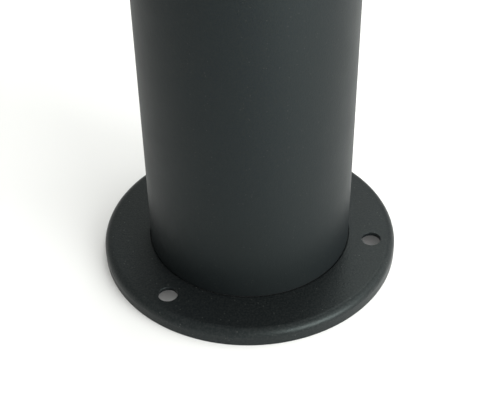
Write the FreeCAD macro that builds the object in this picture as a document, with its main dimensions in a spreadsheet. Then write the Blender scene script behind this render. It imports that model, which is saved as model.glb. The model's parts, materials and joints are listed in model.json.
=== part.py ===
"""Bolt-down bollard post.

A round aluminium extrusion stands on a hollow pressed flange and is closed by a flat cap. Three screw
ports run the whole length of the extrusion, inside its wall. Countersunk screws go into them from under
the flange and from above the cap, so that nothing shows on the side of the post.

Frame: millimetres, +Z up, origin on the ground at the middle of the flange. One anchor hole is on +X.
"""
import FreeCAD, Part
import math
import os
import Sketcher

SHEET_NAME = "dims"

# Driving dimensions in millimetres, angles in degrees.
DIMENSIONS = {
    "overall_height": 800,
    "tube_diameter": 102,
    "tube_wall": 2.5,
    "tube_end_break": 0.3,
    "flange_diameter": 150,
    "flange_height": 9,
    "flange_sheet": 2,
    "flange_edge_radius": 4,
    "flange_foot_radius": 0.6,
    "seat_diameter": 102.3,
    "seat_depth": 0.6,
    "seat_edge_radius": 0.5,
    "anchor_circle": 126,
    "anchor_hole": 9.5,
    "hole_edge_radius": 0.35,
    "collar_diameter": 77.2,
    "collar_rise": 8,
    "collar_root_radius": 0.6,
    "port_circle": 88,
    "port_angle": 60,
    "port_diameter": 9.5,
    "port_bore": 5,
    "port_slot": 2.4,
    "screw_diameter": 4.9,
    "screw_head_diameter": 9.8,
    "screw_head_land": 0.3,
    "screw_key": 3,
    "screw_key_depth": 2,
    "screw_point": 0.8,
    "screw_clearance_hole": 5.5,
    "countersink_play": 0.1,
    "base_screw_length": 20,
    "cap_screw_length": 16,
    "stiffener_diameter": 102,
    "stiffener_opening": 78,
    "stiffener_thickness": 4,
    "seam_gasket_thickness": 0.4,
    "cap_gasket_thickness": 0.4,
    "gasket_recess": 0.4,
    "gasket_opening": 79,
    "ground_seal_width": 4,
    "ground_seal_height": 4.5,
    "ground_seal_gap": 0.1,
    "cap_thickness": 6,
    "cap_edge_radius": 1.5,
    "cap_spigot_rise": 8,
    "cap_spigot_wall": 3,
}

# Places that several pieces share, worked out from the driving dimensions.
SEAT = "(dims.flange_height - dims.seat_depth)"
TUBE_FOOT = f"({SEAT} + dims.seam_gasket_thickness)"
CAP_SEAT = "(dims.overall_height - dims.cap_thickness)"
TUBE_TOP = f"({CAP_SEAT} - dims.cap_gasket_thickness)"
FLANGE_UNDERSIDE = "(dims.flange_height - dims.flange_sheet)"
STIFFENER_FOOT = f"({FLANGE_UNDERSIDE} - dims.stiffener_thickness)"

# A countersink this wide seats a screw head just under the surface.
COUNTERSINK = "(dims.screw_head_diameter + 2 * dims.screw_head_land + dims.countersink_play)"

FASTENING_POINTS = 3
COUNTERSINK_ANGLE = 90
TOLERANCE = 1e-4

doc = FreeCAD.newDocument("bollard_post")


def make_sheet():
    """Put the driving dimensions in a spreadsheet, one alias for each."""
    sheet = doc.addObject("Spreadsheet::Sheet", SHEET_NAME)
    for row, (alias, value) in enumerate(DIMENSIONS.items(), start=1):
        sheet.set(f"A{row}", alias)
        sheet.set(f"B{row}", str(value))
        sheet.setAlias(f"B{row}", alias)
    doc.recompute()
    return sheet


def make_body(name, height="0", turn="0"):
    """Start a sub-part, lifted by height and turned about the post's axis."""
    body = doc.addObject("PartDesign::Body", name)
    body.Label = name
    body.setExpression("Placement.Base.z", height)
    body.setExpression("Placement.Rotation.Angle", turn)
    return body


def origin_feature(body, role):
    """One of the body's own origin planes or axes."""
    return next(feature for feature in body.Origin.OriginFeatures if feature.Role == role)


def make_sketch(body, name, plane, shift="0", lift="0"):
    """Start a sketch on one of the body's origin planes, shifted along its own X and off the plane."""
    sketch = body.newObject("Sketcher::SketchObject", name)
    sketch.AttachmentSupport = [(origin_feature(body, plane), "")]
    sketch.MapMode = "FlatFace"
    sketch.setExpression("AttachmentOffset.Base.x", shift)
    sketch.setExpression("AttachmentOffset.Base.z", lift)
    return sketch


def number(sketch, expression):
    """The present value of an expression, in millimetres."""
    return float(sketch.evalExpression(expression))


def bind(sketch, constraint, expression):
    """Add a constraint and drive it from the spreadsheet."""
    index = sketch.addConstraint(constraint)
    sketch.setExpression(f"Constraints[{index}]", expression)


def pin_point(sketch, geometry, point, place):
    """Hold a point of the sketch at a place given as two expressions."""
    root, root_point = -1, 1
    for kind, expression in zip(("DistanceX", "DistanceY"), place):
        value = number(sketch, expression)
        bind(sketch, Sketcher.Constraint(kind, root, root_point, geometry, point, value), expression)


def draw_outline(sketch, corners):
    """Draw a closed outline of straight lines through corners given as expressions."""
    places = [FreeCAD.Vector(number(sketch, x), number(sketch, y), 0) for x, y in corners]
    lines = []
    for start, end in zip(places, places[1:] + places[:1]):
        lines.append(sketch.addGeometry(Part.LineSegment(start, end), False))
    for line, following in zip(lines, lines[1:] + lines[:1]):
        sketch.addConstraint(Sketcher.Constraint("Coincident", line, 2, following, 1))
    for line, corner in zip(lines, corners):
        pin_point(sketch, line, 1, corner)


def draw_circle(sketch, diameter, place=("0", "0")):
    """Draw a circle with its centre and diameter given as expressions."""
    centre = FreeCAD.Vector(number(sketch, place[0]), number(sketch, place[1]), 0)
    radius = number(sketch, diameter) / 2
    circle = sketch.addGeometry(Part.Circle(centre, FreeCAD.Vector(0, 0, 1), radius), False)
    pin_point(sketch, circle, 3, place)
    bind(sketch, Sketcher.Constraint("Diameter", circle, 2 * radius), diameter)


def pad(body, name, sketch, length):
    """Raise a sketch to a length."""
    feature = body.newObject("PartDesign::Pad", name)
    feature.Profile = sketch
    feature.setExpression("Length", length)
    doc.recompute()
    return feature


def revolve(body, name, sketch):
    """Turn a sketch once round its own vertical axis."""
    feature = body.newObject("PartDesign::Revolution", name)
    feature.Profile = sketch
    feature.ReferenceAxis = (sketch, ["V_Axis"])
    feature.Angle = 360
    doc.recompute()
    return feature


def pocket_up(body, name, sketch, depth):
    """Cut a sketch upwards to a depth."""
    feature = body.newObject("PartDesign::Pocket", name)
    feature.Profile = sketch
    feature.setExpression("Length", depth)
    feature.Reversed = True
    doc.recompute()
    return feature


def countersunk_hole(body, name, sketch, depth, upwards):
    """Drill a countersunk clearance hole whose wide end is in the sketch's plane."""
    feature = body.newObject("PartDesign::Hole", name)
    feature.Profile = sketch
    feature.ThreadType = "None"
    feature.DepthType = "Dimension"
    feature.DrillPoint = "Flat"
    feature.HoleCutType = "Countersink"
    feature.HoleCutCustomValues = True
    feature.HoleCutCountersinkAngle = COUNTERSINK_ANGLE
    feature.Reversed = upwards
    feature.setExpression("Diameter", "dims.screw_clearance_hole")
    feature.setExpression("HoleCutDiameter", COUNTERSINK)
    feature.setExpression("Depth", depth)
    doc.recompute()
    return feature


def repeat_round(body, name, features):
    """Repeat features evenly round the post's axis."""
    pattern = body.newObject("PartDesign::PolarPattern", name)
    pattern.Originals = features
    pattern.Axis = (origin_feature(body, "Z_Axis"), [""])
    pattern.Angle = 360
    pattern.Occurrences = FASTENING_POINTS
    body.Tip = pattern
    doc.recompute()
    return pattern


def round_edges(body, name, radius, chosen):
    """Round the edges of the body's tip that the test chooses."""
    base = body.Tip
    names = [f"Edge{i}" for i, edge in enumerate(base.Shape.Edges, start=1) if chosen(edge)]
    feature = body.newObject("PartDesign::Fillet", name)
    feature.Base = (base, names)
    feature.setExpression("Radius", radius)
    doc.recompute()
    return feature


def break_edges(body, name, size, chosen):
    """Chamfer the edges of the body's tip that the test chooses."""
    base = body.Tip
    names = [f"Edge{i}" for i, edge in enumerate(base.Shape.Edges, start=1) if chosen(edge)]
    feature = body.newObject("PartDesign::Chamfer", name)
    feature.Base = (base, names)
    feature.setExpression("Size", size)
    doc.recompute()
    return feature


def circle_at(level, diameter):
    """A test for the circular edges of one diameter at one height in the body's own frame."""
    def test(edge):
        curve = edge.Curve
        return (isinstance(curve, Part.Circle)
                and math.isclose(curve.Radius, diameter / 2, abs_tol=TOLERANCE)
                and math.isclose(curve.Center.z, level, abs_tol=TOLERANCE))
    return test


def radius_of(diameter):
    """The expression for half a named diameter."""
    return f"dims.{diameter} / 2"


def port_place():
    """The first screw port's centre, in a body that isn't turned."""
    reach = radius_of("port_circle")
    return f"{reach} * cos(dims.port_angle)", f"{reach} * sin(dims.port_angle)"


def make_post_tube():
    """Extruded tube with three open-sided screw ports inside its wall."""
    body = make_body("post_tube", TUBE_FOOT, "dims.port_angle")
    length = f"{TUBE_TOP} - {TUBE_FOOT}"
    wall = make_sketch(body, "tube_wall_section", "XY_Plane")
    draw_circle(wall, "dims.tube_diameter")
    draw_circle(wall, "dims.tube_diameter - 2 * dims.tube_wall")
    tube = pad(body, "tube_extrusion", wall, length)
    size = DIMENSIONS["tube_diameter"]
    ends = (circle_at(0, size), circle_at(tube.Length.Value, size))
    break_edges(body, "tube_ends", "dims.tube_end_break", lambda edge: any(end(edge) for end in ends))

    centre = radius_of("port_circle")
    boss = make_sketch(body, "port_section", "XY_Plane")
    draw_circle(boss, "dims.port_diameter", (centre, "0"))
    port = pad(body, "port", boss, length)
    bore_section = make_sketch(body, "port_bore_section", "XY_Plane")
    draw_circle(bore_section, "dims.port_bore", (centre, "0"))
    bore = pocket_up(body, "port_bore", bore_section, length)
    slot_section = make_sketch(body, "port_slot_section", "XY_Plane")
    mouth = f"{centre} - dims.port_diameter"
    half_slot = radius_of("port_slot")
    draw_outline(slot_section, [
        (mouth, f"-{half_slot}"),
        (centre, f"-{half_slot}"),
        (centre, half_slot),
        (mouth, half_slot),
    ])
    slot = pocket_up(body, "port_slot", slot_section, length)
    repeat_round(body, "ports", [port, bore, slot])
    return body


def make_base_flange():
    """Pressed round dish: rounded edge, shallow seat for the tube, collar round the middle opening."""
    body = make_body("base_flange")
    outer = radius_of("flange_diameter")
    seat = radius_of("seat_diameter")
    collar = radius_of("collar_diameter")
    collar_top = "dims.flange_height + dims.collar_rise"
    section = make_sketch(body, "dish_section", "XZ_Plane")
    draw_outline(section, [
        (outer, "0"),
        (outer, "dims.flange_height"),
        (seat, "dims.flange_height"),
        (seat, SEAT),
        (collar, SEAT),
        (collar, collar_top),
        (f"{collar} - dims.flange_sheet", collar_top),
        (f"{collar} - dims.flange_sheet", FLANGE_UNDERSIDE),
        (f"{outer} - dims.flange_sheet", FLANGE_UNDERSIDE),
        (f"{outer} - dims.flange_sheet", "0"),
    ])
    revolve(body, "dish", section)

    size = DIMENSIONS["flange_diameter"]
    top = DIMENSIONS["flange_height"]
    seat_level = top - DIMENSIONS["seat_depth"]
    seat_size = DIMENSIONS["seat_diameter"]
    sheet_thickness = DIMENSIONS["flange_sheet"]
    underside = top - sheet_thickness
    collar_size = DIMENSIONS["collar_diameter"]
    inner_bend = "dims.flange_edge_radius - dims.flange_sheet"
    collar_bend = "dims.collar_root_radius + dims.flange_sheet"
    round_edges(body, "edge_outside", "dims.flange_edge_radius", circle_at(top, size))
    round_edges(body, "edge_inside", inner_bend, circle_at(underside, size - 2 * sheet_thickness))
    round_edges(body, "seat_edge", "dims.seat_edge_radius", circle_at(top, seat_size))
    round_edges(body, "collar_root", "dims.collar_root_radius", circle_at(seat_level, collar_size))
    round_edges(body, "collar_bend", collar_bend, circle_at(underside, collar_size - 2 * sheet_thickness))
    round_edges(body, "foot", "dims.flange_foot_radius", circle_at(0, size))

    anchor = make_sketch(body, "anchor_hole_section", "XY_Plane")
    draw_circle(anchor, "dims.anchor_hole", (radius_of("anchor_circle"), "0"))
    anchor_hole = pocket_up(body, "anchor_hole", anchor, "dims.flange_height + 1")
    screw = make_sketch(body, "screw_hole_section", "XY_Plane")
    draw_circle(screw, "dims.screw_clearance_hole", port_place())
    screw_hole = pocket_up(body, "screw_hole", screw, "dims.flange_height + 1")
    repeat_round(body, "holes", [anchor_hole, screw_hole])
    round_edges(body, "hole_edges", "dims.hole_edge_radius", circle_at(top, DIMENSIONS["anchor_hole"]))
    return body


def make_gasket(name, height, thickness):
    """Flat ring with three screw holes, set back a little from the face of the tube."""
    body = make_body(name, height, "dims.port_angle")
    section = make_sketch(body, f"{name}_section", "XY_Plane")
    draw_circle(section, "dims.tube_diameter - 2 * dims.gasket_recess")
    draw_circle(section, "dims.gasket_opening")
    pad(body, f"{name}_ring", section, thickness)
    hole_section = make_sketch(body, f"{name}_hole_section", "XY_Plane")
    draw_circle(hole_section, "dims.screw_clearance_hole", (radius_of("port_circle"), "0"))
    hole = pocket_up(body, f"{name}_hole", hole_section, thickness)
    repeat_round(body, f"{name}_holes", [hole])
    return body


def make_stiffener_ring():
    """Steel ring in the hollow of the dish, countersunk from below for the base screws."""
    body = make_body("stiffener_ring", STIFFENER_FOOT, "dims.port_angle")
    section = make_sketch(body, "stiffener_section", "XY_Plane")
    draw_circle(section, "dims.stiffener_diameter")
    draw_circle(section, "dims.stiffener_opening")
    pad(body, "stiffener_plate", section, "dims.stiffener_thickness")
    hole_section = make_sketch(body, "stiffener_hole_section", "XY_Plane")
    draw_circle(hole_section, "dims.screw_clearance_hole", (radius_of("port_circle"), "0"))
    hole = countersunk_hole(body, "stiffener_hole", hole_section, "dims.stiffener_thickness", True)
    repeat_round(body, "stiffener_holes", [hole])
    return body


def make_ground_seal():
    """Soft ring behind the rim of the dish, level with the rim's foot."""
    body = make_body("ground_seal")
    section = make_sketch(body, "ground_seal_section", "XY_Plane")
    outside = "dims.flange_diameter - 2 * (dims.flange_sheet + dims.ground_seal_gap)"
    draw_circle(section, outside)
    draw_circle(section, f"{outside} - 2 * dims.ground_seal_width")
    pad(body, "ground_seal_ring", section, "dims.ground_seal_height")
    return body


def make_screws(name, height, length, head_up):
    """Three countersunk screws with hexagon sockets, heads in the plane of the given height."""
    body = make_body(name, height, "dims.port_angle")
    side = "-" if head_up else ""
    shank = radius_of("screw_diameter")
    head = radius_of("screw_head_diameter")
    taper_end = f"{side}(dims.screw_head_land + {head} - {shank})"
    profile = make_sketch(body, f"{name}_profile", "XZ_Plane", radius_of("port_circle"))
    draw_outline(profile, [
        ("0", "0"),
        (head, "0"),
        (head, f"{side}dims.screw_head_land"),
        (shank, taper_end),
        (shank, f"{side}({length} - dims.screw_point)"),
        (f"{shank} - dims.screw_point", f"{side}{length}"),
        ("0", f"{side}{length}"),
    ])
    turned = revolve(body, f"{name}_turned", profile)

    socket_section = make_sketch(body, f"{name}_socket_section", "XY_Plane", radius_of("port_circle"))
    across_corners = "dims.screw_key / cos(30)"
    corners = []
    for corner in range(6):
        angle = 60 * corner
        corners.append((f"{across_corners} / 2 * cos({angle})", f"{across_corners} / 2 * sin({angle})"))
    draw_outline(socket_section, corners)
    socket = pocket_up(body, f"{name}_socket", socket_section, "dims.screw_key_depth")
    socket.Reversed = not head_up
    doc.recompute()
    repeat_round(body, name + "_set", [turned, socket])
    return body


def make_top_cap():
    """Flat cap with a rounded edge, countersunk from above, and a spigot between the screw ports."""
    body = make_body("top_cap", CAP_SEAT, "dims.port_angle")
    outer = radius_of("tube_diameter")
    spigot = radius_of("collar_diameter")
    section = make_sketch(body, "cap_section", "XZ_Plane")
    draw_outline(section, [
        ("0", "0"),
        (f"{spigot} - dims.cap_spigot_wall", "0"),
        (f"{spigot} - dims.cap_spigot_wall", "-dims.cap_spigot_rise"),
        (spigot, "-dims.cap_spigot_rise"),
        (spigot, "0"),
        (outer, "0"),
        (outer, "dims.cap_thickness"),
        ("0", "dims.cap_thickness"),
    ])
    revolve(body, "cap_blank", section)
    rim = circle_at(DIMENSIONS["cap_thickness"], DIMENSIONS["tube_diameter"])
    round_edges(body, "cap_edge", "dims.cap_edge_radius", rim)
    lower_rim = circle_at(0, DIMENSIONS["tube_diameter"])
    break_edges(body, "cap_lower_edge", "dims.tube_end_break", lower_rim)
    hole_section = make_sketch(body, "cap_hole_section", "XY_Plane", lift="dims.cap_thickness")
    draw_circle(hole_section, "dims.screw_clearance_hole", (radius_of("port_circle"), "0"))
    hole = countersunk_hole(body, "cap_hole", hole_section, "dims.cap_thickness", False)
    repeat_round(body, "cap_holes", [hole])
    return body


def failed_objects():
    """Every object of the document that did not compute."""
    return [item.Name for item in doc.Objects if {"Invalid", "Error"} & set(item.State)]


def check_and_export(bodies):
    """Stop at any failed object or bad solid, then write one file for each sub-part."""
    doc.recompute()
    failed = failed_objects()
    if failed:
        raise RuntimeError(f"objects that did not compute: {failed}")
    for body in bodies:
        if body.Shape.isNull() or not body.Shape.isValid():
            raise RuntimeError(f"{body.Label} has no valid shape")
    os.makedirs("parts", exist_ok=True)
    for body in bodies:
        body.Shape.exportStep(f"parts/{body.Label}.step")
        print(f"{body.Label}: {len(body.Shape.Solids)} solid(s), {body.Shape.Volume:.1f} mm3")


def main():
    make_sheet()
    check_and_export([
        make_post_tube(),
        make_base_flange(),
        make_gasket("seam_gasket", SEAT, "dims.seam_gasket_thickness"),
        make_stiffener_ring(),
        make_ground_seal(),
        make_screws("base_screws", STIFFENER_FOOT, "dims.base_screw_length", False),
        make_gasket("cap_gasket", TUBE_TOP, "dims.cap_gasket_thickness"),
        make_top_cap(),
        make_screws("cap_screws", "dims.overall_height", "dims.cap_screw_length", True),
    ])


main()
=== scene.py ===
"""Studio picture of the bollard post: node materials for the CAD pieces, a pale floor, lights, camera."""
import json
import math

import bpy
from mathutils import Matrix, Vector


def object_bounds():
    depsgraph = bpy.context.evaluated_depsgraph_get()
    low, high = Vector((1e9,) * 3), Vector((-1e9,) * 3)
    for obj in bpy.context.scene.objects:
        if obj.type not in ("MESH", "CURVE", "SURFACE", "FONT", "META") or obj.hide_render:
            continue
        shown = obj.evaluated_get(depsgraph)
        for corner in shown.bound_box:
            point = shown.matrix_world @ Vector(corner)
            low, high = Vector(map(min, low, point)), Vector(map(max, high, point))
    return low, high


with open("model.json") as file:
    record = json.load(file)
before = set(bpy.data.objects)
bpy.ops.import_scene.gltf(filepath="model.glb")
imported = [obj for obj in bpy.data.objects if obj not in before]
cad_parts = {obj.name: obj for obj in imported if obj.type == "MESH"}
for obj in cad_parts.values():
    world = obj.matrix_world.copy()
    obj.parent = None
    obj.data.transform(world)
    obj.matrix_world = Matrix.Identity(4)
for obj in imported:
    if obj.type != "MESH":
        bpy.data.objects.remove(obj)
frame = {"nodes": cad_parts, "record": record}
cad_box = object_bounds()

# The camera stands in front of the post, turned a little from -Y towards +X, and looks down at its foot.
CAMERA_LENS_MM = 77.6
SENSOR_WIDTH_MM = 36.0
CAMERA_TURN = 9.55
CAMERA_ELEVATION = 39.6
CAMERA_ROLL = -0.84
CAMERA_DISTANCE = 0.5487
AIM_HEIGHT = 0.0273
AIM_RIGHT = 0.0004
CLIP_START = 0.01
CLIP_END = 100

FLOOR_SIZE = 12.0
FLOOR_WHITE = (0.84, 0.84, 0.83, 1)
FLOOR_ROUGHNESS = 0.9
FLOOR_GLOW = 0.06
WORLD_COLOUR = (1.0, 1.0, 0.97, 1)
WORLD_STRENGTH = 0.70

# The powder coat, as linear colours; depths of relief in metres. The specular tint stands in for the
# cool cast of the coat's reflections, so that the lights and the floor can stay nearly neutral.
COAT_COOL = (0.0040, 0.0056, 0.0072, 1)
COAT_WARM = (0.0050, 0.0064, 0.0069, 1)
COAT_SPECULAR_LEVEL = 0.2
COAT_SPECULAR_TINT = (0.86, 1.0, 0.97, 1)
COAT_GLOSS_SPREAD = 0.02
ORANGE_PEEL = 0.00002
TUBE_ROUGHNESS = 0.48
TUBE_GRAIN = 0.00004
TUBE_PALE = (0.0060, 0.0074, 0.0078, 1)
TUBE_SPECKS = (0.018, 0.019, 0.018, 1)
FLANGE_ROUGHNESS = 0.38
FLANGE_GRAIN = 0.00009
FLANGE_PALE = (0.0130, 0.0144, 0.0146, 1)
FLANGE_SPECKS = (0.05, 0.053, 0.05, 1)

# Softboxes: name, degrees round from the camera's side to the right, degrees up, width, height, watts.
SOFTBOX_DISTANCE = 1.6
LIGHT_COLOUR = (0.98, 1.0, 0.99)
SOFTBOXES = (
    ("key", 45, 14, 1.2, 0.8, 37.0),
    ("fill_front", 30, 32, 1.16, 1.4, 3.0),
    ("fill_right", 70, 32, 1.16, 1.4, 9.0),
    ("fill_side", 110, 32, 1.16, 1.4, 7.5),
    ("back", 160, 57, 0.55, 1.0, 7.0),
)


def make_camera():
    """A camera that looks down at the foot of the post, with no shift and no depth of field."""
    turn = math.radians(CAMERA_TURN)
    tilt = math.radians(CAMERA_ELEVATION)
    roll = math.radians(CAMERA_ROLL)
    level = Vector((math.cos(turn), math.sin(turn), 0))
    back = Vector((math.sin(turn) * math.cos(tilt), -math.cos(turn) * math.cos(tilt), math.sin(tilt)))
    upright = back.cross(level)
    right = level * math.cos(roll) + upright * math.sin(roll)
    up = upright * math.cos(roll) - level * math.sin(roll)
    aim = Vector((0, 0, AIM_HEIGHT)) + level * AIM_RIGHT
    data = bpy.data.cameras.new("studio_camera")
    data.sensor_width = SENSOR_WIDTH_MM
    data.lens = CAMERA_LENS_MM
    data.clip_start = CLIP_START
    data.clip_end = CLIP_END
    camera = bpy.data.objects.new("studio_camera", data)
    pose = Matrix((right, up, back)).transposed().to_4x4()
    pose.translation = aim + back * CAMERA_DISTANCE
    camera.matrix_world = pose
    bpy.context.scene.collection.objects.link(camera)
    bpy.context.scene.camera = camera


class Shader:
    """A small helper that adds nodes to one material and links them."""

    def __init__(self, name):
        self.material = bpy.data.materials.new(name)
        self.material.use_nodes = True
        self.tree = self.material.node_tree
        self.principled = self.tree.nodes["Principled BSDF"]
        self.place = self.add("ShaderNodeTexCoord").outputs["Object"]

    def add(self, kind, **settings):
        node = self.tree.nodes.new(kind)
        for key, value in settings.items():
            setattr(node, key, value)
        return node

    def link(self, source, target):
        self.tree.links.new(source, target)

    def noise(self, scale, detail):
        """Soft noise with the given number of waves to the metre."""
        node = self.add("ShaderNodeTexNoise")
        node.inputs["Scale"].default_value = scale
        node.inputs["Detail"].default_value = detail
        self.link(self.place, node.inputs["Vector"])
        return node.outputs["Fac"]

    def cells(self, scale):
        """Cells with the given number to the metre."""
        node = self.add("ShaderNodeTexVoronoi")
        node.inputs["Scale"].default_value = scale
        self.link(self.place, node.inputs["Vector"])
        return node

    def specks(self, scale, radius, rarity):
        """White dots: of the cells to the metre, those above the given rarity hold a dot of that radius."""
        node = self.cells(scale)
        dots = self.ramp(node.outputs["Distance"], 1, 0, radius * 0.6, radius)
        chosen = self.maths("GREATER_THAN", node.outputs["Color"], rarity)
        return self.maths("MULTIPLY", dots, chosen)

    def ramp(self, value, low, high, from_low=0.0, from_high=1.0):
        """A value spread from one range to another, without passing its ends."""
        node = self.add("ShaderNodeMapRange", clamp=True)
        node.inputs["From Min"].default_value = from_low
        node.inputs["From Max"].default_value = from_high
        node.inputs["To Min"].default_value = low
        node.inputs["To Max"].default_value = high
        self.link(value, node.inputs["Value"])
        return node.outputs["Result"]

    def maths(self, operation, first, second):
        """One operation on two values, either of which may be a plain number."""
        node = self.add("ShaderNodeMath", operation=operation)
        for socket, value in zip(node.inputs, (first, second)):
            if isinstance(value, (int, float)):
                socket.default_value = value
            else:
                self.link(value, socket)
        return node.outputs["Value"]

    def blend(self, amount, first, second):
        """A colour between two, each a tuple or another node's output."""
        node = self.add("ShaderNodeMix", data_type="RGBA")
        self.link(amount, node.inputs["Factor"])
        for socket, value in ((node.inputs[6], first), (node.inputs[7], second)):
            if isinstance(value, tuple):
                socket.default_value = value
            else:
                self.link(value, socket)
        return node.outputs[2]

    def bump(self, height, depth, under=None):
        """Relief of the given depth in metres, on top of any relief under it."""
        node = self.add("ShaderNodeBump")
        node.inputs["Strength"].default_value = 1.0
        node.inputs["Distance"].default_value = depth
        self.link(height, node.inputs["Height"])
        if under is not None:
            self.link(under, node.inputs["Normal"])
        return node.outputs["Normal"]

    def set(self, **values):
        """Plain values on the shader's own sockets, named with underscores for spaces."""
        for key, value in values.items():
            self.principled.inputs[key.replace("_", " ")].default_value = value

    def drive(self, **outputs):
        """Node outputs into the shader's sockets, named with underscores for spaces."""
        for key, output in outputs.items():
            self.link(output, self.principled.inputs[key.replace("_", " ")])


def powder_coat(name, gloss, grain, pale, dust):
    """Dark anthracite powder coat: satin, with orange peel, a fine grain and specks of dust."""
    shader = Shader(name)
    drift = shader.ramp(shader.noise(scale=9, detail=3), low=0, high=1, from_low=0.35, from_high=0.65)
    tone = shader.blend(drift, COAT_COOL, COAT_WARM)
    mottle = shader.ramp(shader.noise(scale=1100, detail=1.5), low=0, high=1, from_low=0.38, from_high=0.68)
    tone = shader.blend(mottle, tone, pale)
    tone = shader.blend(shader.specks(scale=520, radius=0.17, rarity=0.7), tone, dust)
    shader.drive(Base_Color=tone)
    dull = gloss + COAT_GLOSS_SPREAD
    bright = gloss - COAT_GLOSS_SPREAD
    satin = shader.ramp(shader.noise(scale=60, detail=3), low=bright, high=dull, from_low=0.3, from_high=0.7)
    shader.drive(Roughness=satin)
    peel = shader.bump(shader.noise(scale=380, detail=1.5), depth=ORANGE_PEEL)
    shader.drive(Normal=shader.bump(shader.noise(scale=1200, detail=2), depth=grain, under=peel))
    shader.set(Metallic=0.0, IOR=1.5)
    shader.set(Specular_IOR_Level=COAT_SPECULAR_LEVEL, Specular_Tint=COAT_SPECULAR_TINT)
    return shader.material


def gasket_rubber():
    """Matt black rubber sheet."""
    shader = Shader("gasket_rubber_black")
    tone = shader.blend(shader.noise(scale=300, detail=3), (0.008, 0.008, 0.008, 1), (0.018, 0.018, 0.019, 1))
    shader.drive(Base_Color=tone)
    shader.drive(Roughness=shader.ramp(shader.noise(scale=500, detail=2), low=0.7, high=0.9))
    shader.drive(Normal=shader.bump(shader.noise(scale=3000, detail=2), depth=0.00002))
    return shader.material


def seal_foam():
    """Closed-cell black foam rubber with small open pores on its cut faces."""
    shader = Shader("seal_foam_black")
    middle_to_wall = shader.cells(scale=1400).outputs["Distance"]
    pores = shader.ramp(middle_to_wall, low=0, high=1, from_low=0.1, from_high=0.5)
    shader.drive(Base_Color=shader.blend(pores, (0.006, 0.006, 0.006, 1), (0.026, 0.026, 0.028, 1)))
    shader.drive(Roughness=shader.ramp(pores, low=0.95, high=0.8))
    shader.drive(Normal=shader.bump(pores, depth=0.0001))
    return shader.material


def zinc_plate():
    """Zinc-plated steel: pale, slightly mottled, with fine rolling lines."""
    shader = Shader("zinc_plate")
    mottle = shader.ramp(shader.cells(scale=260).outputs["Color"], low=0, high=1)
    tone = shader.blend(mottle, (0.48, 0.50, 0.53, 1), (0.62, 0.62, 0.60, 1))
    shader.drive(Base_Color=tone)
    shader.drive(Roughness=shader.ramp(shader.noise(scale=180, detail=4), low=0.28, high=0.46))
    shader.drive(Normal=shader.bump(shader.noise(scale=1500, detail=2), depth=0.000008))
    shader.set(Metallic=1.0)
    return shader.material


def stainless():
    """Bright stainless steel with fine turning marks and slight staining."""
    shader = Shader("stainless_steel")
    tone = shader.blend(shader.noise(scale=700, detail=3), (0.50, 0.49, 0.47, 1), (0.66, 0.65, 0.63, 1))
    shader.drive(Base_Color=tone)
    shader.drive(Roughness=shader.ramp(shader.noise(scale=900, detail=3), low=0.2, high=0.38))
    shader.drive(Normal=shader.bump(shader.noise(scale=4000, detail=2), depth=0.000004))
    shader.set(Metallic=1.0)
    return shader.material


def dress_nodes():
    """Give each CAD node the material of its slot in the record; the flange's coat is grainier."""
    materials = {
        "powder_coat": powder_coat(
            "powder_coat_smooth", gloss=TUBE_ROUGHNESS, grain=TUBE_GRAIN, pale=TUBE_PALE, dust=TUBE_SPECKS
        ),
        "gasket_rubber": gasket_rubber(),
        "seal_foam": seal_foam(),
        "zinc_plate": zinc_plate(),
        "stainless": stainless(),
    }
    for part in frame["record"]["subparts"]:
        for slot in frame["nodes"][part["node"]].material_slots:
            slot.material = materials[part["material_slot"]]
    flange_coat = powder_coat(
        "powder_coat_grainy", gloss=FLANGE_ROUGHNESS, grain=FLANGE_GRAIN, pale=FLANGE_PALE, dust=FLANGE_SPECKS
    )
    for slot in frame["nodes"]["base_flange"].material_slots:
        slot.material = flange_coat


def make_floor():
    """A plain white floor that glows a little, so that it stays pale in the shade of the post."""
    half = FLOOR_SIZE / 2
    level = cad_box[0].z
    corners = [(-half, -half, level), (half, -half, level), (half, half, level), (-half, half, level)]
    mesh = bpy.data.meshes.new("floor")
    mesh.from_pydata(corners, [], [(0, 1, 2, 3)])
    floor = bpy.data.objects.new("floor", mesh)
    bpy.context.scene.collection.objects.link(floor)
    material = bpy.data.materials.new("floor_white")
    material.use_nodes = True
    principled = material.node_tree.nodes["Principled BSDF"]
    principled.inputs["Base Color"].default_value = FLOOR_WHITE
    principled.inputs["Roughness"].default_value = FLOOR_ROUGHNESS
    principled.inputs["Specular IOR Level"].default_value = 0.0
    principled.inputs["Emission Color"].default_value = (1, 1, 1, 1)
    principled.inputs["Emission Strength"].default_value = FLOOR_GLOW
    mesh.materials.append(material)


def make_world():
    """Even soft light from all round."""
    world = bpy.data.worlds.new("studio_world")
    world.use_nodes = True
    background = world.node_tree.nodes["Background"]
    background.inputs["Color"].default_value = WORLD_COLOUR
    background.inputs["Strength"].default_value = WORLD_STRENGTH
    bpy.context.scene.world = world


def make_softbox(name, turn, elevation, width, height, power):
    """A soft light that faces the foot of the post."""
    around = math.radians(CAMERA_TURN + turn)
    rise = math.radians(elevation)
    outward = Vector((math.sin(around) * math.cos(rise), -math.cos(around) * math.cos(rise), math.sin(rise)))
    data = bpy.data.lights.new(name, "AREA")
    data.shape = "RECTANGLE"
    data.size = width
    data.size_y = height
    data.energy = power
    data.color = LIGHT_COLOUR
    light = bpy.data.objects.new(name, data)
    light.location = Vector((0, 0, AIM_HEIGHT)) + outward * SOFTBOX_DISTANCE
    light.rotation_mode = "QUATERNION"
    light.rotation_quaternion = outward.to_track_quat("Z", "Y")
    bpy.context.scene.collection.objects.link(light)


def make_lights():
    """All the softboxes of the table."""
    for softbox in SOFTBOXES:
        make_softbox(*softbox)


make_camera()
dress_nodes()
make_floor()
make_world()
make_lights()
bpy.context.scene.view_settings.view_transform = "Standard"
